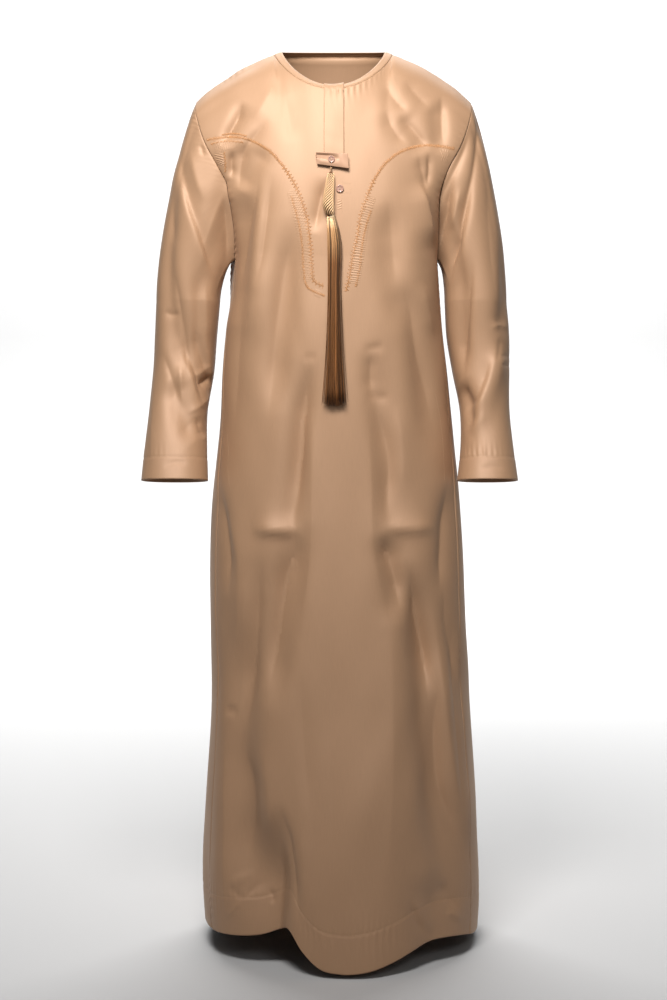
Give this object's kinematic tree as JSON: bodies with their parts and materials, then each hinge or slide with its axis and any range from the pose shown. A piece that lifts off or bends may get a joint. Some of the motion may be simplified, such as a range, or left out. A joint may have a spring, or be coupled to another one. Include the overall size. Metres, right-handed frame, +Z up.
{
  "type": "thobe robe",
  "caption": "Ankle-length long-sleeved robe held open as worn, with a round banded neck, a chest placket with a buttoned tab, and a hanging tassel.",
  "frame": {"origin": "middle of the neck opening at the height of the shoulders, where a wearer's shoulders carry the robe", "axes": "+X to the wearer's left, -Y to the front, +Z up"},
  "size_m": [0.6324, 0.443, 1.515],
  "materials": {
    "robe_satin": "beige polyester satin weave with a soft sheen",
    "button_shell": "pinkish half-clear plastic",
    "cord_thread": "twisted glossy viscose thread, golden brown",
    "fringe_thread": "glossy viscose thread, dark brown"
  },
  "bodies": {
    "root": {"front_panel": "robe_satin", "back_panel": "robe_satin", "side_gore_left": "robe_satin", "side_gore_right": "robe_satin", "sleeve_left": "robe_satin", "sleeve_right": "robe_satin", "neckband": "robe_satin", "placket": "robe_satin", "tab": "robe_satin", "button_upper": "button_shell", "button_lower": "button_shell", "tassel_cord": "cord_thread", "tassel_fringe": "fringe_thread"}
  },
  "joints": []
}
